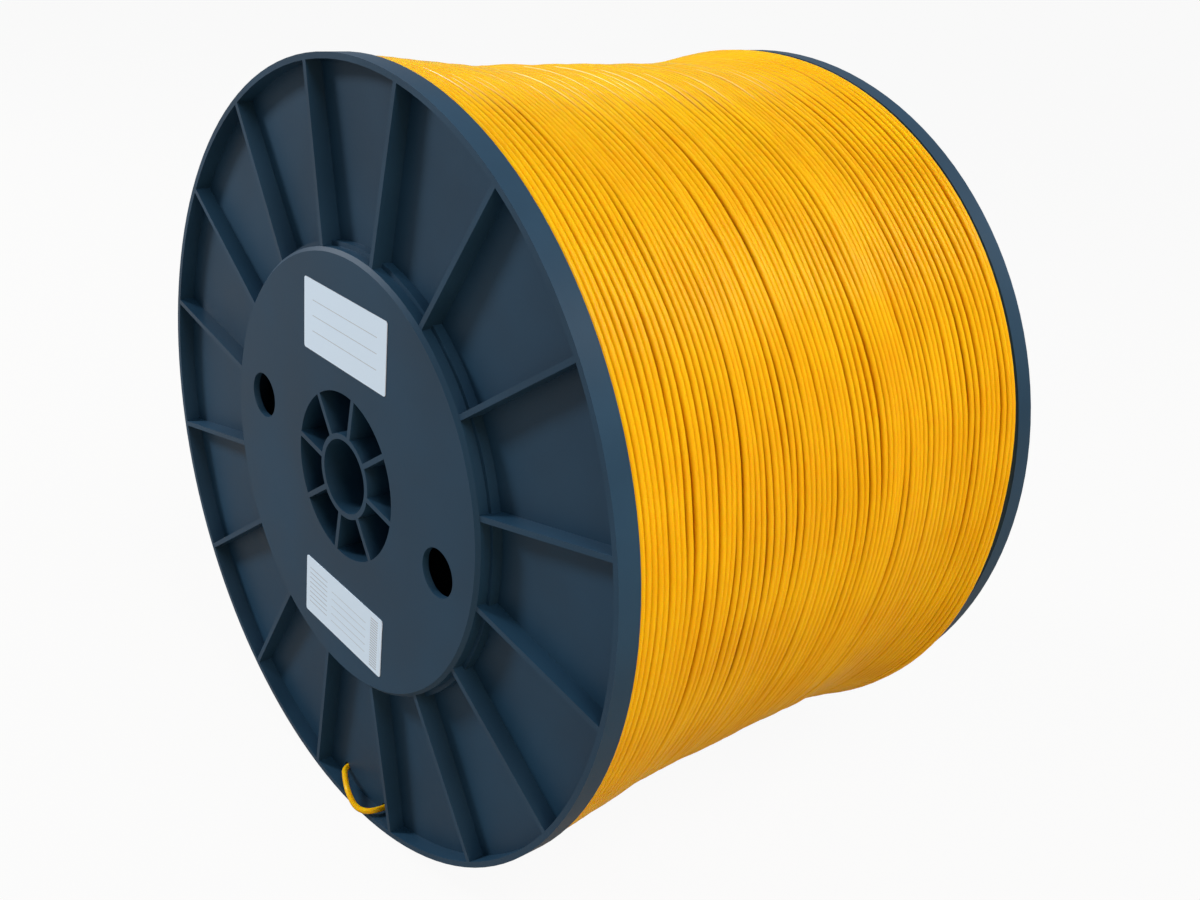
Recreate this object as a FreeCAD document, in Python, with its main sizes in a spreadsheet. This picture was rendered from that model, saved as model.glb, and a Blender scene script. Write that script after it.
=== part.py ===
import FreeCAD, Part
import math
import os
import re
import Sketcher

# A delivery reel for plastic strand: two ribbed moulded flanges on a plain barrel, wound full.
# The reel's axis is Y, the labelled front flange is at -Y, and the origin is the bore's centre.

document = FreeCAD.newDocument("string_reel")
Vector = FreeCAD.Vector
ORIGIN = -1
ACROSS_AXIS = -1
ALONG_AXIS = -2

# Driving dimensions in millimetres, degrees and counts
dimensions = {
    "flange_radius": 177.5,
    "inside_width": 234.4,
    "rim_thickness": 10.3,
    "lip_wall": 2.6,
    "web_thickness": 3.0,
    "hub_radius": 100.0,
    "hub_height": 13.3,
    "hub_wall": 3.0,
    "hub_plate": 3.0,
    "hub_bevel": 1.6,
    "ledge_width": 2.0,
    "ledge_height": 7.3,
    "well_radius": 38.5,
    "well_wall": 3.0,
    "well_depth": 40.0,
    "tube_radius": 19.5,
    "bore_radius": 17.0,
    "spoke_width": 2.4,
    "rib_width": 2.4,
    "rib_count": 16,
    "drive_circle_radius": 74.7,
    "drive_hole_radius": 10.75,
    "moulding_turn": 10.4,
    "tail_hole_radius": 2.3,
    "tail_start_reach": 169.0,
    "tail_start_angle": 265.2,
    "tail_end_reach": 172.3,
    "tail_end_angle": 276.9,
    "barrel_radius": 112.0,
    "barrel_wall": 3.0,
    "strand_diameter": 2.85,
    "waist_radius": 171.5,
    "winding_rise": 5.8,
    "winding_loops": 6,
    "seat_depth": 0.05,
    "loop_end_gap": 0.3,
    "label_length": 66.4,
    "label_thickness": 0.3,
    "upper_label_width": 32.2,
    "upper_label_across": 0.4,
    "upper_label_height": 65.6,
    "upper_label_tilt": 1.6,
    "lower_label_width": 30.0,
    "lower_label_across": -0.8,
    "lower_label_height": -69.9,
    "lower_label_tilt": 2.9,
}

sheet = document.addObject("Spreadsheet::Sheet", "sizes")
for row, (alias, value) in enumerate(dimensions.items(), start=1):
    sheet.set("A%d" % row, alias.replace("_", " "))
    sheet.set("B%d" % row, str(value))
    sheet.setAlias("B%d" % row, alias)
document.recompute()


def bound(expression):
    """An expression over the driving dimensions, as the document's objects read it."""
    return re.sub("[a-z_]+", lambda word: "sizes." * (word[0] in dimensions) + word[0], expression)


def size(expression):
    return float(sheet.evalExpression(bound(expression)))


# Sketches and bodies

def origin_feature(body, role):
    return next(feature for feature in body.Origin.OriginFeatures if feature.Role == role)


def new_body(name):
    body = document.addObject("PartDesign::Body", name)
    body.Label = name
    return body


def new_sketch(body, plane, name, height=None):
    """A sketch on one of the body's origin planes. On XZ_Plane a height moves it along +Y."""
    sketch = body.newObject("Sketcher::SketchObject", name)
    sketch.AttachmentSupport = (origin_feature(body, plane), [""])
    sketch.MapMode = "FlatFace"
    if height is not None:
        sketch.setExpression("AttachmentOffset.Base.z", bound("-1 * (%s)" % height))
    return sketch


def place_point(sketch, geometry, end, across, along):
    """Holds an end or a centre at two distances from the sketch's origin."""
    for kind, axis, expression in (("DistanceX", ALONG_AXIS, across), ("DistanceY", ACROSS_AXIS, along)):
        value = size(expression)
        if abs(value) < 1e-9:
            sketch.addConstraint(Sketcher.Constraint("PointOnObject", geometry, end, axis))
        else:
            index = sketch.addConstraint(Sketcher.Constraint(kind, ORIGIN, 1, geometry, end, value))
            sketch.setExpression("Constraints[%d]" % index, bound(expression))


def draw_outline(sketch, corners):
    """A closed outline of straight lines through corners, each (across, along)."""
    places = [Vector(size(across), size(along), 0) for across, along in corners]
    for index, corner in enumerate(corners):
        following = places[(index + 1) % len(corners)]
        sketch.addGeometry(Part.LineSegment(places[index], following), False)
        place_point(sketch, index, 1, *corner)
    for index in range(len(corners)):
        sketch.addConstraint(Sketcher.Constraint("Coincident", index, 2, (index + 1) % len(corners), 1))


def draw_circle(sketch, across, along, radius):
    centre = Vector(size(across), size(along), 0)
    circle = sketch.addGeometry(Part.Circle(centre, Vector(0, 0, 1), size(radius)), False)
    if size(across) == 0 and size(along) == 0:
        sketch.addConstraint(Sketcher.Constraint("Coincident", circle, 3, ORIGIN, 1))
    else:
        place_point(sketch, circle, 3, across, along)
    index = sketch.addConstraint(Sketcher.Constraint("Radius", circle, size(radius)))
    sketch.setExpression("Constraints[%d]" % index, bound(radius))


def revolve(body, sketch, name):
    feature = body.newObject("PartDesign::Revolution", name)
    feature.Profile = sketch
    feature.ReferenceAxis = (origin_feature(body, "Y_Axis"), [""])
    feature.Angle = 360
    sketch.Visibility = False
    return feature


def pad(body, sketch, name, length, side="One side", outward=False):
    feature = body.newObject("PartDesign::Pad", name)
    feature.Profile = sketch
    feature.SideType = side
    feature.Reversed = outward
    feature.setExpression("Length", bound(length))
    return feature


def cut_through(body, sketch, name):
    feature = body.newObject("PartDesign::Pocket", name)
    feature.Profile = sketch
    feature.SideType = "Symmetric"
    feature.Type = "ThroughAll"
    return feature


def repeat_round(body, feature, name, count, angle="360"):
    pattern = body.newObject("PartDesign::PolarPattern", name)
    pattern.Originals = [feature]
    pattern.Axis = (origin_feature(body, "Y_Axis"), [""])
    pattern.setExpression("Angle", bound(angle))
    pattern.setExpression("Occurrences", bound(count))
    body.Tip = pattern
    return pattern


# The flange moulding, in its own frame: the winding face at Y 0, the outside towards +Y and
# the two drive holes on the X axis. Ribs and spokes stand on lines a sixteenth and an eighth
# of a turn apart, counted from the same axis.

def make_flange(name):
    body = new_body(name)

    section = new_sketch(body, "XY_Plane", name + "_section")
    draw_outline(section, [
        ("flange_radius", "0"),
        ("flange_radius", "rim_thickness"),
        ("flange_radius - lip_wall", "rim_thickness"),
        ("flange_radius - lip_wall", "web_thickness"),
        ("hub_radius + ledge_width", "web_thickness"),
        ("hub_radius + ledge_width", "ledge_height"),
        ("hub_radius", "ledge_height"),
        ("hub_radius", "hub_height - hub_bevel"),
        ("hub_radius - hub_bevel", "hub_height"),
        ("well_radius", "hub_height"),
        ("well_radius", "hub_height - well_depth"),
        ("well_radius + well_wall", "hub_height - well_depth"),
        ("well_radius + well_wall", "hub_height - hub_plate"),
        ("hub_radius - hub_wall", "hub_height - hub_plate"),
        ("hub_radius - hub_wall", "0"),
    ])
    revolve(body, section, name + "_shell")

    well_bottom = "hub_height - well_depth"
    spoke_reach = "well_radius + well_wall / 2"
    spokes = new_sketch(body, "XZ_Plane", name + "_spoke_plan", well_bottom)
    draw_outline(spokes, [
        ("-1 * (%s)" % spoke_reach, "-1 * spoke_width / 2"),
        (spoke_reach, "-1 * spoke_width / 2"),
        (spoke_reach, "spoke_width / 2"),
        ("-1 * (%s)" % spoke_reach, "spoke_width / 2"),
    ])
    spoke_bar = pad(body, spokes, name + "_spoke_bar", "well_depth", outward=True)
    repeat_round(body, spoke_bar, name + "_spokes", "4", "135")

    tube = new_sketch(body, "XZ_Plane", name + "_tube_plan", well_bottom)
    draw_circle(tube, "0", "0", "tube_radius")
    pad(body, tube, name + "_tube", "well_depth", outward=True)
    bore = new_sketch(body, "XZ_Plane", name + "_bore_plan")
    draw_circle(bore, "0", "0", "bore_radius")
    cut_through(body, bore, name + "_bore")

    drive_holes = new_sketch(body, "XZ_Plane", name + "_drive_plan")
    draw_circle(drive_holes, "drive_circle_radius", "0", "drive_hole_radius")
    draw_circle(drive_holes, "-1 * drive_circle_radius", "0", "drive_hole_radius")
    cut_through(body, drive_holes, name + "_drive_holes")

    rib = new_sketch(body, "XY_Plane", name + "_rib_side")
    rib_root = "web_thickness / 2"
    draw_outline(rib, [
        ("hub_radius - hub_wall / 2", rib_root),
        ("flange_radius - lip_wall / 2", rib_root),
        ("flange_radius - lip_wall / 2", "rim_thickness"),
        ("flange_radius - lip_wall", "rim_thickness"),
        ("hub_radius - hub_wall / 2", "hub_height - hub_bevel"),
    ])
    first_rib = pad(body, rib, name + "_rib", "rib_width", side="Symmetric")
    repeat_round(body, first_rib, name + "_ribs", "rib_count")

    tail_holes = new_sketch(body, "XZ_Plane", name + "_tail_plan")
    for reach, angle in (("tail_start_reach", "tail_start_angle"), ("tail_end_reach", "tail_end_angle")):
        turned = "180 - %s - moulding_turn" % angle
        draw_circle(tail_holes, "%s * cos(%s)" % (reach, turned), "%s * sin(%s)" % (reach, turned),
                    "tail_hole_radius")
    cut_through(body, tail_holes, name + "_tail_holes")
    return body


def make_ring(name, outline):
    """A body turned round the reel's axis."""
    body = new_body(name)
    section = new_sketch(body, "XY_Plane", name + "_section")
    draw_outline(section, outline)
    revolve(body, section, name + "_turned")
    return body


half_width = "inside_width / 2"

front_flange = make_flange("front_flange")
front_flange.Placement = FreeCAD.Placement(
    Vector(0, -size(half_width), 0),
    FreeCAD.Rotation(Vector(0, 1, 0), size("moulding_turn")).multiply(FreeCAD.Rotation(Vector(0, 0, 1), 180)))
rear_flange = make_flange("rear_flange")
rear_flange.Placement = FreeCAD.Placement(
    Vector(0, size(half_width), 0), FreeCAD.Rotation(Vector(0, 1, 0), size("moulding_turn")))

make_ring("barrel", [
    ("barrel_radius - barrel_wall", "-1 * inside_width / 2"),
    ("barrel_radius", "-1 * inside_width / 2"),
    ("barrel_radius", half_width),
    ("barrel_radius - barrel_wall", half_width),
])

# The inner layers of the winding: level round the waist, and rising from half way to each rim
def core_corner(share):
    """A corner of the core's outline, at a share of the half width from the waist."""
    rise = "winding_rise * %g" % max(0, 2 * abs(share) - 1)
    return ("waist_radius - strand_diameter - seat_depth + " + rise, "%g * inside_width / 2" % share)


make_ring("winding_core", [("barrel_radius", "-1 * inside_width / 2")]
          + [core_corner(share) for share in (-1, -0.5, 0.5, 1)] + [("barrel_radius", half_width)])


# The outer layer's strand, laid on those as one unbroken run of loops. It is as thick as the
# real strand and has about a tenth of its turns, so the loops stand apart.

def arc_pair(start, start_way, end, end_way):
    """Two arcs that meet smoothly, from one point and direction to another."""
    across = end - start
    ways = start_way + end_way
    spread = 2 * (1 - start_way.dot(end_way))
    along = across.dot(ways)
    reach = (math.sqrt(along ** 2 + spread * across.dot(across)) - along) / spread
    first_corner = start + start_way * reach
    last_corner = end - end_way * reach
    joint = (first_corner + last_corner) * 0.5
    arcs = []
    for tail, corner, head in ((start, first_corner, joint), (joint, last_corner, end)):
        weight = (head - tail).Length / reach
        middle = (tail + corner * weight + head) * (1 / (2 + weight))
        arcs.append(Part.Arc(tail, middle, head).toShape())
    return arcs


def add_tube(name, path, start, way, thickness, sides):
    """A tube of flat sides whose corners lie on a round strand's outline."""
    inward = Vector(-start.x, 0, -start.z)
    inward = (inward - way * inward.dot(way)).normalize()
    sideways = way.cross(inward)
    turns = [2 * math.pi * side / sides for side in range(sides)]
    corners = [start + (inward * math.cos(turn) + sideways * math.sin(turn)) * (thickness / 2) for turn in turns]
    shell = Part.BRepOffsetAPI.MakePipeShell(path)
    shell.add(Part.makePolygon(corners + corners[:1]))
    shell.build()
    shell.makeSolid()
    tube = document.addObject("Part::Feature", name)
    tube.Label = name
    tube.Shape = shell.shape()
    area = sides / 2 * math.sin(2 * math.pi / sides) * (thickness / 2) ** 2
    share = tube.Shape.Volume / (area * path.Length)
    print("%s: length %.1f mm, volume over section times length %.4f" % (name, path.Length, share))
    return tube


def make_winding_layer():
    loops = int(size("winding_loops"))
    strand = size("strand_diameter")
    first_place = -size(half_width) + size("loop_end_gap") + strand / 2
    pitch = -2 * first_place / loops
    waist = size("waist_radius") - strand / 2
    rise = size("winding_rise")

    def point(turn):
        place = first_place + pitch * turn
        radius = waist + rise * max(0, 2 * abs(place / size(half_width)) - 1)
        angle = 2 * math.pi * turn
        return Vector(radius * math.cos(angle), place, radius * math.sin(angle))

    def way(turn):
        small = 1e-4
        return (point(turn + small) - point(turn - small)).normalize()

    edges = [Part.LineSegment(point(0) - way(0) * strand, point(0)).toShape()]
    for quarter in range(loops * 4):
        start, end = quarter / 4, (quarter + 1) / 4
        edges += arc_pair(point(start), way(start), point(end), way(end))
    edges.append(Part.LineSegment(point(loops), point(loops) + way(loops) * strand).toShape())
    path = Part.Wire(edges)

    layer = add_tube("winding_outer_layer", path, point(0) - way(0) * strand, way(0), strand, 4)

    # The gap from each loop to the next, on points all along both
    steps = 48
    samples = [point(step / steps) for step in range(loops * steps + 1)]
    nearest = min((samples[index + steps + shift] - samples[index]).Length
                  for index in range((loops - 1) * steps - 3) for shift in range(-3, 4))
    print("winding: %d loops, pitch %.2f mm, least gap %.2f mm" % (loops, pitch, nearest - strand))
    return layer


make_winding_layer()


# The strand's free end. It comes out of the winding through one small hole in the front web,
# bows out past the rim's lip and goes back in through the other.

def round_wire(points):
    """Straight runs joined by tangent arcs, and the arcs' radii."""
    edges, radii = [], []
    start = points[0]
    for before, corner, after in zip(points, points[1:], points[2:]):
        back, ahead = before - corner, after - corner
        shorter = min(back.Length, ahead.Length)
        turn = math.pi - back.getAngle(ahead)
        cut = 0.45 * shorter
        first = corner + back.normalize() * cut
        last = corner + ahead.normalize() * cut
        radius = cut / math.tan(turn / 2)
        bisector = (back + ahead).normalize()
        centre = corner + bisector * (cut / math.sin(turn / 2))
        edges.append(Part.LineSegment(start, first).toShape())
        edges.append(Part.Arc(first, centre - bisector * radius, last).toShape())
        radii.append(radius)
        start = last
    edges.append(Part.LineSegment(start, points[-1]).toShape())
    return Part.Wire(edges), radii


def on_flange(reach, angle, place):
    return Vector(reach * math.cos(math.radians(angle)), place, reach * math.sin(math.radians(angle)))


def make_tail():
    winding_end = -size(half_width)
    start = (size("tail_start_reach"), size("tail_start_angle"))
    end = (size("tail_end_reach"), size("tail_end_angle"))
    route = [
        on_flange(*start, winding_end),
        on_flange(*start, -122.0),
        on_flange(168.4, 267.6, -125.8),
        on_flange(168.6, 271.0, -130.2),
        on_flange(173.6, 274.0, -130.6),
        on_flange(*end, -126.0),
        on_flange(*end, winding_end),
    ]
    path, radii = round_wire(route)
    print("filament_tail: arc radii", " ".join("%.1f" % radius for radius in radii), "mm")
    return add_tube("filament_tail", path, route[0], Vector(0, -1, 0), size("strand_diameter"), 6)


make_tail()


# Two paper labels on the front flange's hub, above and below the well

def make_label(name):
    body = new_body(name)
    outline = new_sketch(body, "XZ_Plane", name + "_outline")
    draw_outline(outline, [
        ("-1 * label_length / 2", "-1 * %s_width / 2" % name),
        ("label_length / 2", "-1 * %s_width / 2" % name),
        ("label_length / 2", name + "_width / 2"),
        ("-1 * label_length / 2", name + "_width / 2"),
    ])
    pad(body, outline, name + "_sheet", "label_thickness")
    hub_face = -size("inside_width / 2 + hub_height")
    body.Placement = FreeCAD.Placement(
        Vector(size(name + "_across"), hub_face, size(name + "_height")),
        FreeCAD.Rotation(Vector(0, 1, 0), size(name + "_tilt")))
    return body


make_label("upper_label")
make_label("lower_label")

document.recompute()

# Every object is sound before anything is written
for item in document.Objects:
    if "Invalid" in item.State or "Error" in item.State:
        raise RuntimeError("%s did not build: %s" % (item.Name, item.State))

nodes = ["front_flange", "rear_flange", "barrel", "winding_core", "winding_outer_layer", "filament_tail",
         "upper_label", "lower_label"]
os.makedirs("parts", exist_ok=True)
for node in nodes:
    shape = document.getObject(node).Shape
    if shape.isNull() or not shape.isValid() or len(shape.Solids) != 1:
        raise RuntimeError("%s has no sound solid" % node)
for node in nodes:
    shape = document.getObject(node).Shape
    shape.exportStep(os.path.join("parts", node + ".step"))
    box = shape.optimalBoundingBox()
    print("%s: volume %.0f, X %.1f to %.1f, Y %.1f to %.1f, Z %.1f to %.1f" % (
        node, shape.Volume, box.XMin, box.XMax, box.YMin, box.YMax, box.ZMin, box.ZMax))
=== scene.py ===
import math
import bpy
import bmesh
from mathutils import Matrix, Vector


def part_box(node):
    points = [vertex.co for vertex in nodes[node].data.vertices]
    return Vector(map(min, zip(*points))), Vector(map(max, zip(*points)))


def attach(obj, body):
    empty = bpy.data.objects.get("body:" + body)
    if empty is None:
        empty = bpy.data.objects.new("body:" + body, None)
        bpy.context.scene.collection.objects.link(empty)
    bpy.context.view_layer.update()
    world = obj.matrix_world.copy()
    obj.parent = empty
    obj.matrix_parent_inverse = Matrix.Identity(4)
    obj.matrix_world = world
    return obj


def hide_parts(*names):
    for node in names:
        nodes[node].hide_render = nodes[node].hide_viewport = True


# A reel of amber plastic strand: two ribbed black mouldings on a barrel, wound full.
# The reel's axis is Y, the labelled front flange is at -Y, and the origin is the bore's centre.

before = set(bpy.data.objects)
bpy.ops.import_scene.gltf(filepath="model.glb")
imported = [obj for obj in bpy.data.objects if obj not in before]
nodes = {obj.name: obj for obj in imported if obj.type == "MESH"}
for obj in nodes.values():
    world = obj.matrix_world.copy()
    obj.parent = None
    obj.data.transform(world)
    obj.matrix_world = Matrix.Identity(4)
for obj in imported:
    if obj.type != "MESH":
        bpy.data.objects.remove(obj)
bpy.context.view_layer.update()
mm = 0.001
strandDiameter = 2.85 * mm
windingFace = 117.2 * mm               # from the bore's centre to a flange's winding face
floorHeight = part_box("front_flange")[0].z


def linear(hexColour):                 # an sRGB hex colour as linear RGBA
    channels = [int(hexColour[place:place + 2], 16) / 255 for place in (1, 3, 5)]
    return [c / 12.92 if c <= 0.04045 else ((c + 0.055) / 1.055) ** 2.4 for c in channels] + [1]


def addNode(tree, kind, settings=None, inputs=None):
    node = tree.nodes.new(kind)
    for name, value in (settings or {}).items():
        setattr(node, name, value)
    for name, value in (inputs or {}).items():     # each a plain value or another node's output
        if isinstance(value, bpy.types.NodeSocket):
            tree.links.new(value, node.inputs[name])
        else:
            node.inputs[name].default_value = value
    return node


def compute(tree, operation, *terms):  # a step of a formula, on numbers and outputs
    return addNode(tree, "ShaderNodeMath", {"operation": operation}, dict(enumerate(terms))).outputs[0]


def linkObject(name, data):
    piece = bpy.data.objects.new(name, data)
    bpy.context.scene.collection.objects.link(piece)
    return piece


def finishPiece(piece, slotName, *replaced):
    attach(piece, "root")
    if replaced:
        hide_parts(*replaced)


# Camera, at the photograph's viewing angle

view = {
    "place": (0.4395, -0.3850, 0.2350),
    "azimuth": 47.33,
    "elevation": 23.13,
    "roll": 4.97,
    "focalPixels": 1252,
    "imageWidth": 1200,
    "sensorWidth": 36,                 # mm
}


def addCamera():
    data = bpy.data.cameras.new("camera")
    data.sensor_fit = "HORIZONTAL"
    data.sensor_width = view["sensorWidth"]
    data.lens = view["focalPixels"] / view["imageWidth"] * view["sensorWidth"]
    data.clip_start = 0.01
    camera = linkObject("camera", data)
    turn = (Matrix.Rotation(math.radians(view["azimuth"]), 4, "Z")
            @ Matrix.Rotation(math.radians(90 - view["elevation"]), 4, "X")
            @ Matrix.Rotation(math.radians(view["roll"]), 4, "Z"))
    camera.matrix_world = Matrix.Translation(view["place"]) @ turn
    bpy.context.scene.camera = camera


addCamera()
print("camera done")


def newMaterial(name):
    material = bpy.data.materials.new(name)
    material.use_nodes = True
    material.node_tree.nodes.clear()
    return material, material.node_tree


def twoTone(tree, share, first, second, low=0, high=1):     # one colour passing into another
    ramp = addNode(tree, "ShaderNodeValToRGB", inputs={"Fac": share})
    for element, position, colour in zip(ramp.color_ramp.elements, (low, high), (first, second)):
        element.position = position
        element.color = linear(colour)
    return ramp.outputs["Color"]


def fineRelief(tree, place, size, detail, depth, strength):
    grain = addNode(tree, "ShaderNodeTexNoise", inputs={"Vector": place, "Scale": 1 / size, "Detail": detail})
    bump = addNode(tree, "ShaderNodeBump", inputs={
        "Strength": strength, "Distance": depth, "Height": grain.outputs["Fac"]})
    return bump.outputs["Normal"]


# Black high-impact polystyrene, injection moulded in a lightly eroded tool: a deep blue-black
# body with a broad soft sheen, a fine grain, and faint cloudy flow marks

plastic = {
    "body": "#1f3f57",
    "cloud": "#1a374d",
    "cloudSize": 60 * mm,
    "cloudRange": (0.35, 0.65),        # the noise between one tone and the other
    "sheenRange": (0.3, 0.7),          # and between glossy and dull
    "grainSize": 0.8 * mm,             # the real grain is near 0.1 mm, drawn coarser so that it shows
    "grainDepth": 0.02 * mm,
    "glossy": 0.42,
    "dull": 0.55,
    "gloss": 0.22,
    "ior": 1.5,
}


def makePlastic():
    material, tree = newMaterial("mouldedPolystyrene")
    place = addNode(tree, "ShaderNodeTexCoord").outputs["Object"]
    clouds = addNode(tree, "ShaderNodeTexNoise", inputs={
        "Vector": place, "Scale": 1 / plastic["cloudSize"], "Detail": 4}).outputs["Fac"]
    colour = twoTone(tree, clouds, plastic["cloud"], plastic["body"], *plastic["cloudRange"])
    low, high = plastic["sheenRange"]
    rough = addNode(tree, "ShaderNodeMapRange", inputs={
        "Value": clouds, "From Min": low, "From Max": high,
        "To Min": plastic["glossy"], "To Max": plastic["dull"]}).outputs["Result"]
    shader = addNode(tree, "ShaderNodeBsdfPrincipled", inputs={
        "IOR": plastic["ior"], "Specular IOR Level": plastic["gloss"],
        "Base Color": colour, "Roughness": rough,
        "Normal": fineRelief(tree, place, plastic["grainSize"], 2, plastic["grainDepth"], 1)})
    addNode(tree, "ShaderNodeOutputMaterial", inputs={"Surface": shader.outputs["BSDF"]})
    return material


# Extruded amber monofilament: a smooth, slightly waxy strand that light sinks into, so its
# shaded side stays a warm orange and only a thin line of gloss runs along the top

strand = {
    "body": "#e7b50d",
    "deep": "#e2ab09",
    "toneSize": 30 * mm,
    "toneRange": (0.35, 0.65),
    "roughness": 0.26,
    "gloss": 0.11,
    "ior": 1.46,
    "glow": 0.6,
    "glowDepth": 1.6 * mm,
    "glowSpread": (1, 0.5, 0.08),      # red light travels furthest in it
}


def makeStrandPlastic():
    material, tree = newMaterial("amberMonofilament")
    place = addNode(tree, "ShaderNodeTexCoord").outputs["Object"]
    tone = addNode(tree, "ShaderNodeTexNoise", inputs={
        "Vector": place, "Scale": 1 / strand["toneSize"], "Detail": 3}).outputs["Fac"]
    shader = addNode(tree, "ShaderNodeBsdfPrincipled", inputs={
        "Roughness": strand["roughness"], "IOR": strand["ior"], "Specular IOR Level": strand["gloss"],
        "Subsurface Weight": strand["glow"], "Subsurface Scale": strand["glowDepth"],
        "Subsurface Radius": strand["glowSpread"],
        "Base Color": twoTone(tree, tone, strand["deep"], strand["body"], *strand["toneRange"])})
    addNode(tree, "ShaderNodeOutputMaterial", inputs={"Surface": shader.outputs["BSDF"]})
    return material


# Uncoated white label paper: bright, quite matt, with a faint cold cast and fibre, and plain
# ruled lines in place of the printing

paper = {
    "body": "#d6e9fb",
    "rule": "#b2bac3",
    "fibreSize": 0.8 * mm,
    "fibreDepth": 0.02 * mm,
    "fibreStrength": 0.4,
    "roughness": 0.62,
    "gloss": 0.3,
}


def makePaper(name, rules):
    material, tree = newMaterial(name)
    place = addNode(tree, "ShaderNodeTexCoord").outputs["Object"]
    onSheet = addNode(tree, "ShaderNodeUVMap").outputs[0]
    across, up, _ = addNode(tree, "ShaderNodeSeparateXYZ", inputs={0: onSheet}).outputs

    def inside(value, low, high):
        return compute(tree, "MULTIPLY", compute(tree, "GREATER_THAN", value, low),
                       compute(tree, "LESS_THAN", value, high))

    inked = None
    for left, right, bottom, top, spacing, width in rules:
        band = compute(tree, "MULTIPLY", inside(across, left, right), inside(up, bottom, top))
        lines = compute(tree, "DIVIDE", compute(tree, "SUBTRACT", up, bottom), spacing)
        onLine = compute(tree, "LESS_THAN", compute(tree, "FRACT", lines), width / spacing)
        line = compute(tree, "MULTIPLY", band, onLine)
        inked = line if inked is None else compute(tree, "MAXIMUM", inked, line)
    fibre = fineRelief(tree, place, paper["fibreSize"], 3, paper["fibreDepth"], paper["fibreStrength"])
    shader = addNode(tree, "ShaderNodeBsdfPrincipled", inputs={
        "Roughness": paper["roughness"], "Specular IOR Level": paper["gloss"],
        "Base Color": twoTone(tree, inked, paper["body"], paper["rule"]), "Normal": fibre})
    addNode(tree, "ShaderNodeOutputMaterial", inputs={"Surface": shader.outputs["BSDF"]})
    return material


plasticMaterial = makePlastic()
strandMaterial = makeStrandPlastic()
print("materials done")


# The strand's tail, out through one hole of the front web, along it and in again at the next

tail = {
    "route": [                         # reach from the axis, angle and Y, in mm and degrees
        (169.0, 265.2, -117.2),
        (169.0, 265.2, -122.0),
        (168.4, 267.6, -125.8),
        (168.6, 271.0, -130.2),
        (173.6, 274.0, -130.6),
        (172.3, 276.9, -126.0),
        (172.3, 276.9, -117.2),
    ],
    "length": 50.8 * mm,
    "roundSteps": 4,
    "alongSteps": 12,
}


def makeTail():
    curve = bpy.data.curves.new("strandTail", "CURVE")
    curve.dimensions = "3D"
    curve.bevel_depth = strandDiameter / 2
    curve.bevel_resolution = tail["roundSteps"]
    curve.resolution_u = tail["alongSteps"]
    curve.use_fill_caps = True
    spline = curve.splines.new("NURBS")
    spline.points.add(len(tail["route"]) - 1)
    for point, (reach, angle, along) in zip(spline.points, tail["route"]):
        turn = math.radians(angle)
        point.co = (reach * mm * math.cos(turn), along * mm, reach * mm * math.sin(turn), 1)
    spline.order_u = 3
    spline.use_endpoint_u = True
    curve.materials.append(strandMaterial)
    piece = linkObject("strandTail", curve)
    finishPiece(piece, "strand", "filament_tail")


makeTail()
print("tail done")


# The two flange mouldings: the frame's own solids with every moulded edge eased

flange = {
    "edgeRound": 0.4 * mm,
    "edgeSteps": 2,
    "sharpAngle": 28,                  # an edge that turns further is a moulded edge
    "flatAngle": 0.5,                  # and one that turns less only divides a flat face
    "mergeReach": 0.001 * mm,
}


def mergedCopy(nodeName, pieceName):
    mesh = nodes[nodeName].data.copy()
    mesh.materials.clear()
    shape = bmesh.new()
    shape.from_mesh(mesh)
    bmesh.ops.remove_doubles(shape, verts=shape.verts, dist=flange["mergeReach"])
    bmesh.ops.dissolve_limit(shape, angle_limit=math.radians(flange["flatAngle"]), verts=shape.verts,
                             edges=shape.edges, use_dissolve_boundaries=False)
    shape.to_mesh(mesh)
    shape.free()
    return linkObject(pieceName, mesh)


def keepModifiers(piece):
    evaluated = piece.evaluated_get(bpy.context.evaluated_depsgraph_get())
    mesh = bpy.data.meshes.new_from_object(evaluated)
    piece.modifiers.clear()
    piece.data = mesh
    print(piece.name, "has", len(mesh.polygons), "faces")


def makeFlange(nodeName, pieceName):
    piece = mergedCopy(nodeName, pieceName)
    piece.data.materials.append(plasticMaterial)
    piece.data.shade_smooth()
    easing = piece.modifiers.new("easing", "BEVEL")
    easing.limit_method = "ANGLE"
    easing.angle_limit = math.radians(flange["sharpAngle"])
    easing.width = flange["edgeRound"]
    easing.segments = flange["edgeSteps"]
    levelling = piece.modifiers.new("levelling", "WEIGHTED_NORMAL")
    levelling.keep_sharp = True
    keepModifiers(piece)
    finishPiece(piece, "reel_plastic", nodeName)


makeFlange("front_flange", "frontFlange")
makeFlange("rear_flange", "rearFlange")
nodes["barrel"].data.materials.clear()
nodes["barrel"].data.materials.append(plasticMaterial)
print("flanges done")


# The winding: its outer layer of turns, which part in some places and crowd in others, over
# another layer laid the other way, over a plain core

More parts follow.
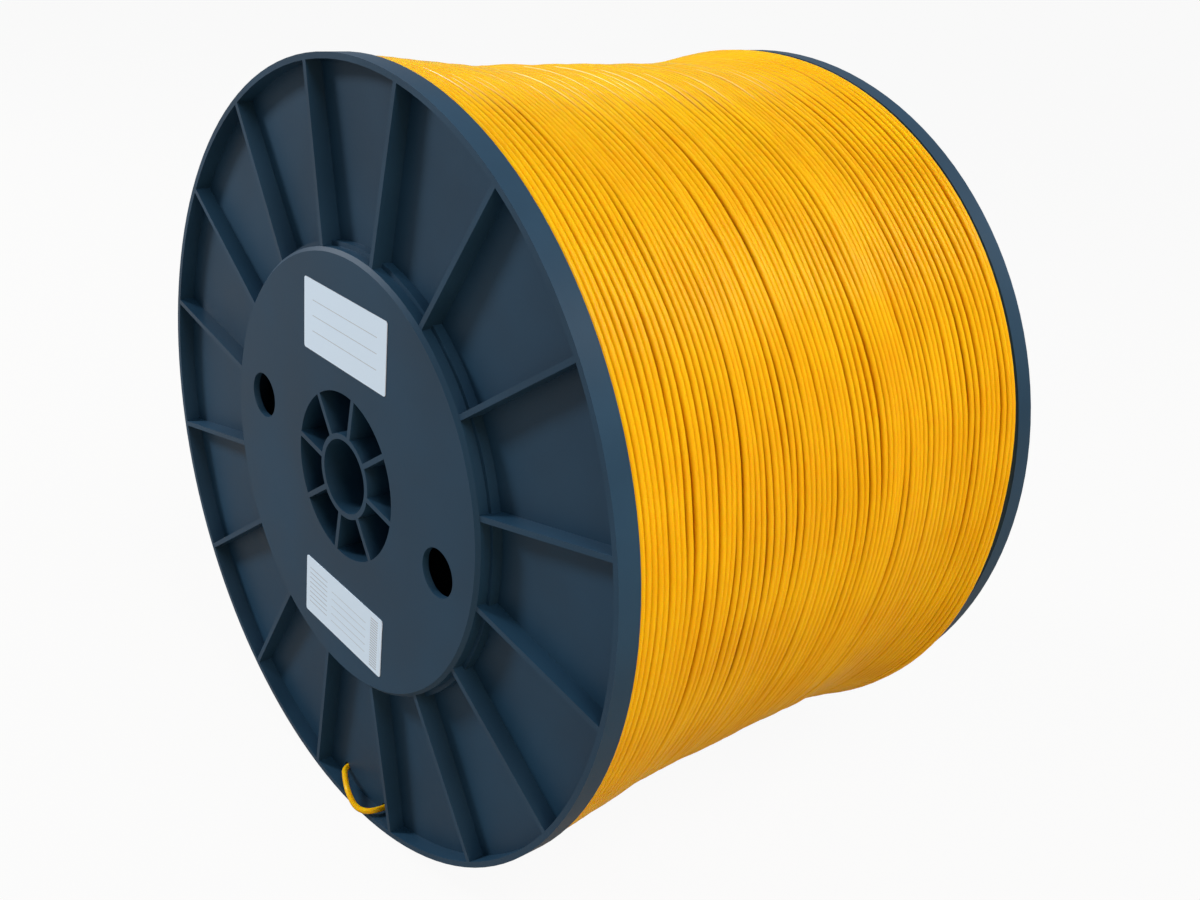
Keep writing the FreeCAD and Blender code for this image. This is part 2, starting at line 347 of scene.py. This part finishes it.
winding = {
    "waistRadius": 171.4 * mm,
    "levelShare": 0.5,                 # of the half width that is level round the waist
    "frontRise": 5.5 * mm,             # from the waist to each end
    "frontCurve": 0.95,                # above 1 the rise is steepest at the rim, below 1 it flattens there
    "rearRise": 8.0 * mm,
    "rearCurve": 1.5,
    "rimRadius": 177.5 * mm,           # no turn stands prouder than this where the reel is widest or tallest
    "proud": 0.9 * mm,                 # between there, the last turns hide the rear rim's edge
    "bulge": 2.2 * mm,                 # and bulge further over it at the lower right
    "bulgeAngle": -28,
    "bulgeCurve": 6,                   # a higher power draws the bulge in about its angle
    "cornerCurve": 1.3,                # and this the whole rise about the corners of the reel's box
    "turns": 68,
    "steps": 128,                      # to a turn
    "sides": 8,                        # round the strand
    "seed": 3.0,
    "innerSteps": 80,                  # the layer below shows only in the gaps, so it is coarser
    "innerSides": 6,
    "innerSeed": 8.0,
    "coreSteps": 160,
    "endGap": 0.05 * mm,
    "layerStep": 2.2 * mm,             # strands nest between those below
    "startAngle": 276.9,               # where the strand leaves for the tail's hole
    "gapLength": 140 * mm,             # how far along the strand a gap runs
    "gapSpacing": 4.2 * mm,            # and how far apart gaps lie
    "gapShare": 0.42,                  # noise under this leaves turns touching
    "leastOpening": 0.003,             # keeps the gaps at one angle from adding up to nothing
    "heave": 1.3 * mm,                 # slow rise and fall of bundles of turns
    "heaveLength": 160 * mm,
    "heaveSpacing": 16 * mm,
    "wander": 2.3 * mm,                # one turn against the next
    "wanderLength": 100 * mm,
    "wanderSpacing": 4.6 * mm,
    "endCalm": 0.85,                   # how much less the turns rise and fall at the two ends
}


def windingTree():
    tree = bpy.data.node_groups.new("windingTurns", "GeometryNodeTree")
    inputs = {
        "Turns": winding["turns"], "Steps": winding["steps"], "Sides": winding["sides"],
        "Seed": winding["seed"], "Way": 1.0, "Start Angle": math.radians(winding["startAngle"]),
        "Diameter": strandDiameter, "Half Width": windingFace, "End Gap": winding["endGap"],
        "Waist": winding["waistRadius"], "Level Share": winding["levelShare"],
        "Front Rise": winding["frontRise"], "Rear Rise": winding["rearRise"],
        "Front Curve": winding["frontCurve"], "Rear Curve": winding["rearCurve"],
        "Rim": winding["rimRadius"], "Proud": winding["proud"], "Bulge": winding["bulge"],
        "Bulge Angle": math.radians(winding["bulgeAngle"]), "End Calm": winding["endCalm"],
        "Gap Length": winding["gapLength"], "Gap Spacing": winding["gapSpacing"],
        "Gap Share": winding["gapShare"], "Heave": winding["heave"],
        "Heave Length": winding["heaveLength"], "Heave Spacing": winding["heaveSpacing"],
        "Wander": winding["wander"], "Wander Length": winding["wanderLength"],
        "Wander Spacing": winding["wanderSpacing"],
    }
    for name, value in inputs.items():
        kind = "NodeSocketInt" if isinstance(value, int) else "NodeSocketFloat"
        tree.interface.new_socket(name, in_out="INPUT", socket_type=kind).default_value = value
    tree.interface.new_socket("Material", in_out="INPUT", socket_type="NodeSocketMaterial")
    tree.interface.new_socket("Geometry", in_out="OUTPUT", socket_type="NodeSocketGeometry")
    given = addNode(tree, "NodeGroupInput").outputs

    def do(operation, *terms):
        return compute(tree, operation, *terms)

    def wave(length, spacing, along, seed):         # noise about a half, stretched along the strand
        reach = do("DIVIDE", given["Waist"], length)
        vector = addNode(tree, "ShaderNodeCombineXYZ", inputs={
            "X": do("MULTIPLY", do("COSINE", turn), reach), "Y": do("DIVIDE", along, spacing),
            "Z": do("MULTIPLY", do("SINE", turn), reach)}).outputs[0]
        noise = addNode(tree, "ShaderNodeTexNoise", {"noise_dimensions": "4D"}, {
            "Scale": 1.0, "Detail": 1.0, "Vector": vector, "W": do("ADD", given["Seed"], seed)})
        return noise.outputs["Fac"]

    def addUp(value):                               # over the turns, at each angle by itself
        return addNode(tree, "GeometryNodeAccumulateField", inputs={"Value": value, "Group ID": step}).outputs

    count = do("ADD", do("MULTIPLY", given["Turns"], given["Steps"]), 1)
    line = addNode(tree, "GeometryNodeMeshLine", inputs={"Count": count})
    index = addNode(tree, "GeometryNodeInputIndex").outputs[0]
    travelled = do("DIVIDE", index, given["Steps"])
    turned = do("MULTIPLY", do("MULTIPLY", travelled, 2 * math.pi), given["Way"])
    turn = do("ADD", turned, given["Start Angle"])
    step = do("MODULO", index, given["Steps"])
    width = do("MULTIPLY", do("SUBTRACT", given["Half Width"], given["End Gap"]), 2)
    room = do("SUBTRACT", width, given["Diameter"])
    start = do("MULTIPLY", room, -0.5)
    evenPlace = do("ADD", start, do("MULTIPLY", travelled, do("DIVIDE", room, given["Turns"])))

    # Gaps open where the noise is high, and close at both ends of the layer
    opening = wave(given["Gap Length"], given["Gap Spacing"], evenPlace, 0)
    opening = do("MAXIMUM", do("SUBTRACT", opening, given["Gap Share"]), winding["leastOpening"])
    fromEnds = do("MINIMUM", do("MINIMUM", travelled, do("SUBTRACT", given["Turns"], travelled)), 1)
    opening = do("MULTIPLY", opening, fromEnds)
    total = addUp(opening)["Total"]
    slack = do("SUBTRACT", room, do("MULTIPLY", given["Turns"], given["Diameter"]))
    advance = do("ADD", given["Diameter"], do("MULTIPLY", opening, do("DIVIDE", slack, total)))
    laid = addUp(advance)["Trailing"]
    place = do("ADD", do("ADD", start, do("MULTIPLY", do("FRACT", travelled), given["Diameter"])), laid)

    # Level round the waist, then rising to each end
    share = do("DIVIDE", do("ABSOLUTE", place), given["Half Width"])
    past = do("DIVIDE", do("SUBTRACT", share, given["Level Share"]), do("SUBTRACT", 1, given["Level Share"]))
    atRear = do("GREATER_THAN", place, 0)

    def atEnd(front, rear):
        atFront = do("SUBTRACT", 1, atRear)
        return do("ADD", do("MULTIPLY", given[rear], atRear), do("MULTIPLY", given[front], atFront))

    rise = atEnd("Front Rise", "Rear Rise")
    lift = do("POWER", do("MAXIMUM", past, 0), atEnd("Front Curve", "Rear Curve"))
    crown = do("ADD", given["Waist"], do("MULTIPLY", lift, rise))
    heave = wave(given["Heave Length"], given["Heave Spacing"], place, 5)
    wander = wave(given["Wander Length"], given["Wander Spacing"], evenPlace, 9)
    uneven = do("ADD", do("MULTIPLY", do("SUBTRACT", heave, 0.5), do("MULTIPLY", given["Heave"], 2)),
                do("MULTIPLY", do("SUBTRACT", wander, 0.5), given["Wander"]))
    calm = do("SUBTRACT", 1, do("MULTIPLY", do("SQRT", do("MAXIMUM", past, 0)), given["End Calm"]))
    crown = do("ADD", crown, do("MULTIPLY", uneven, calm))

    # Over the rear rim the last turns stand a little proud, most of all at the lower right
    corner = do("POWER", do("ABSOLUTE", do("SINE", do("MULTIPLY", turn, 2))), winding["cornerCurve"])
    facing = do("MAXIMUM", do("COSINE", do("SUBTRACT", turn, given["Bulge Angle"])), 0)
    bulge = do("MULTIPLY", given["Bulge"], do("POWER", facing, winding["bulgeCurve"]))
    swell = do("MULTIPLY", do("ADD", given["Proud"], bulge), do("MULTIPLY", corner, atRear))
    crown = do("MINIMUM", do("ADD", crown, do("MULTIPLY", swell, lift)), do("ADD", given["Rim"], swell))
    radius = do("SUBTRACT", crown, do("MULTIPLY", given["Diameter"], 0.5))

    position = addNode(tree, "ShaderNodeCombineXYZ", inputs={
        "X": do("MULTIPLY", do("COSINE", turn), radius), "Y": place,
        "Z": do("MULTIPLY", do("SINE", turn), radius)})
    laidLine = addNode(tree, "GeometryNodeSetPosition", inputs={
        "Geometry": line.outputs[0], "Position": position.outputs[0]})
    route = addNode(tree, "GeometryNodeMeshToCurve", inputs={"Mesh": laidLine.outputs[0]})
    section = addNode(tree, "GeometryNodeCurvePrimitiveCircle", inputs={
        "Resolution": given["Sides"], "Radius": do("MULTIPLY", given["Diameter"], 0.5)})
    tube = addNode(tree, "GeometryNodeCurveToMesh", inputs={
        "Fill Caps": True, "Curve": route.outputs[0], "Profile Curve": section.outputs[0]})
    smooth = addNode(tree, "GeometryNodeSetShadeSmooth", inputs={"Geometry": tube.outputs[0]})
    real = addNode(tree, "GeometryNodeRealizeInstances", inputs={"Geometry": smooth.outputs[0]})
    coated = addNode(tree, "GeometryNodeSetMaterial", inputs={
        "Geometry": real.outputs[0], "Material": given["Material"]})
    addNode(tree, "NodeGroupOutput", inputs={"Geometry": coated.outputs[0]})
    return tree


def makeTurns(tree, pieceName, **changed):
    piece = linkObject(pieceName, bpy.data.meshes.new(pieceName))
    turns = piece.modifiers.new("turns", "NODES")
    turns.node_group = tree
    sockets = {item.name: item.identifier for item in tree.interface.items_tree if item.in_out == "INPUT"}
    turns[sockets["Material"]] = strandMaterial
    for name, value in changed.items():
        turns[sockets[name.replace("_", " ")]] = value
    keepModifiers(piece)
    return piece


def turnedMesh(name, outline, steps):
    mesh = bpy.data.meshes.new(name)
    shape = bmesh.new()
    rings = []
    for step in range(steps):
        turn = 2 * math.pi * step / steps
        rings.append([shape.verts.new((r * math.cos(turn), y, r * math.sin(turn))) for r, y in outline])
    for step in range(steps):
        here, there = rings[step], rings[(step + 1) % steps]
        for corner in range(len(outline)):
            after = (corner + 1) % len(outline)
            shape.faces.new((here[corner], here[after], there[after], there[corner]))
    bmesh.ops.recalc_face_normals(shape, faces=shape.faces)
    shape.to_mesh(mesh)
    shape.free()
    return mesh


def makeWinding():
    tree = windingTree()
    outer = makeTurns(tree, "outerTurns")
    finishPiece(outer, "strand", "winding_outer_layer")
    inner = makeTurns(tree, "innerTurns", Waist=winding["waistRadius"] - winding["layerStep"],
                      Rim=winding["rimRadius"] - winding["layerStep"], Steps=winding["innerSteps"],
                      Sides=winding["innerSides"], Seed=winding["innerSeed"], Way=-1.0)
    finishPiece(inner, "strand")
    below = winding["waistRadius"] - 2 * winding["layerStep"]
    end = windingFace - winding["endGap"]
    level = windingFace * winding["levelShare"]
    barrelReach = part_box("barrel")[1].x
    outline = [(barrelReach, -end), (below + winding["frontRise"], -end), (below, -level), (below, level),
               (below + winding["rearRise"], end), (barrelReach, end)]
    core = linkObject("windingCore", turnedMesh("windingCore", outline, winding["coreSteps"]))
    core.data.materials.append(strandMaterial)
    finishPiece(core, "strand", "winding_core")


makeWinding()
print("winding done")


# Paper labels on the hub's face, plain apart from ruled lines

labels = {
    "length": 66.4 * mm,
    "upperWidth": 32.2 * mm,
    "lowerWidth": 30 * mm,
    "corner": 1.2 * mm,
    "cornerSteps": 5,
    "upperTilt": 1.6,
    "lowerTilt": 2.9,
    # Left, right, bottom and top of a block of lines, their spacing and their width, in mm
    "upperRules": [(-26, 26, -7, 7.5, 7, 0.35)],
    "lowerRules": [(-30, -14, -9, 10, 2.6, 0.45), (-10, 20, -9, 10, 3.9, 0.3), (24, 30, -13, 13, 1.3, 0.6)],
}


def makeLabel(nodeName, pieceName, width, tilt, material):
    low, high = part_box(nodeName)
    centre = (low + high) / 2
    turn = Matrix.Rotation(math.radians(tilt), 4, "Y")
    reach = labels["length"] / 2 - labels["corner"]
    rise = width / 2 - labels["corner"]
    corners = []
    for side, (x, z) in enumerate(((1, 1), (-1, 1), (-1, -1), (1, -1))):
        for step in range(labels["cornerSteps"] + 1):
            angle = math.pi / 2 * (side + step / labels["cornerSteps"])
            corners.append((x * reach + labels["corner"] * math.cos(angle),
                            z * rise + labels["corner"] * math.sin(angle)))
    shape = bmesh.new()
    sheet = shape.loops.layers.uv.new("sheet")
    front, back = [[shape.verts.new(turn @ Vector((x, 0, z)) + Vector((centre.x, y, centre.z)))
                    for x, z in corners] for y in (low.y, high.y)]
    face = shape.faces.new(front)
    for loop, (x, z) in zip(face.loops, corners):
        loop[sheet].uv = (x / mm, z / mm)
    shape.faces.new(list(reversed(back)))
    for place in range(len(corners)):
        after = (place + 1) % len(corners)
        shape.faces.new((front[after], front[place], back[place], back[after]))
    bmesh.ops.recalc_face_normals(shape, faces=shape.faces)
    mesh = bpy.data.meshes.new(pieceName)
    shape.to_mesh(mesh)
    shape.free()
    mesh.materials.append(material)
    finishPiece(linkObject(pieceName, mesh), "label_paper", nodeName)


makeLabel("upper_label", "upperLabel", labels["upperWidth"], labels["upperTilt"],
          makePaper("plainLabelPaper", labels["upperRules"]))
makeLabel("lower_label", "lowerLabel", labels["lowerWidth"], labels["lowerTilt"],
          makePaper("ruledLabelPaper", labels["lowerRules"]))
print("labels done")


# Floor, world and lamps

studio = {
    "floorSize": 40,
    "floor": "#aeaba6",
    "floorGlow": 0.94,                 # how much of what the camera sees of the floor is plain white
    "skyStrength": 0.28,
    "skyGloss": 0.25,                  # how much of the white background glossy surfaces show
    "lamps": {                         # place, width, watts and colour
        "leftSoftbox": ((-1.8, -1.2, 1.1), 0.5, 45, "#ffffff"),
        "topSoftbox": ((1.0, -0.15, 1.35), 0.9, 19, "#ffffff"),
        "rightSoftbox": ((1.65, -0.3, 0.12), 0.9, 9, "#ffca96"),
        "rearLamp": ((0.8, 1.0, 0.96), 0.3, 3, "#ffffff"),
    },
}


def makeFloor():
    mesh = bpy.data.meshes.new("floor")
    half = studio["floorSize"] / 2
    mesh.from_pydata([(-half, -half, floorHeight), (half, -half, floorHeight), (half, half, floorHeight),
                      (-half, half, floorHeight)], [], [(0, 1, 2, 3)])
    material, tree = newMaterial("paleFloor")
    seen = addNode(tree, "ShaderNodeLightPath").outputs["Is Camera Ray"]
    matt = addNode(tree, "ShaderNodeBsdfDiffuse", inputs={"Color": linear(studio["floor"])})
    white = addNode(tree, "ShaderNodeEmission", inputs={"Color": linear("#ffffff"), "Strength": 1})
    mixed = addNode(tree, "ShaderNodeMixShader", inputs={
        0: compute(tree, "MULTIPLY", seen, studio["floorGlow"]), 1: matt.outputs[0], 2: white.outputs[0]})
    addNode(tree, "ShaderNodeOutputMaterial", inputs={"Surface": mixed.outputs[0]})
    mesh.materials.append(material)
    linkObject("floor", mesh)


def makeWorld():
    world = bpy.data.worlds.new("studioWorld")
    world.use_nodes = True
    tree = world.node_tree
    tree.nodes.clear()
    rays = addNode(tree, "ShaderNodeLightPath").outputs
    glossy = compute(tree, "MULTIPLY", rays["Is Glossy Ray"], studio["skyGloss"])
    seen = compute(tree, "MAXIMUM", rays["Is Camera Ray"], glossy)
    white = linear("#ffffff")
    dim = addNode(tree, "ShaderNodeBackground", inputs={"Color": white, "Strength": studio["skyStrength"]})
    bright = addNode(tree, "ShaderNodeBackground", inputs={"Color": white, "Strength": 1})
    mixed = addNode(tree, "ShaderNodeMixShader", inputs={0: seen, 1: dim.outputs[0], 2: bright.outputs[0]})
    addNode(tree, "ShaderNodeOutputWorld", inputs={"Surface": mixed.outputs[0]})
    bpy.context.scene.world = world


def addLamp(name, place, size, power, colour):
    data = bpy.data.lights.new(name, "AREA")
    data.shape = "DISK"
    data.size = size
    data.energy = power
    data.color = linear(colour)[:3]
    lamp = linkObject(name, data)
    lamp.location = place
    lamp.rotation_euler = (-Vector(place)).to_track_quat("-Z", "Y").to_euler()


makeFloor()
makeWorld()
for lampName, facts in studio["lamps"].items():
    addLamp(lampName, *facts)
bpy.context.scene.view_settings.view_transform = "Standard"
print("studio done")
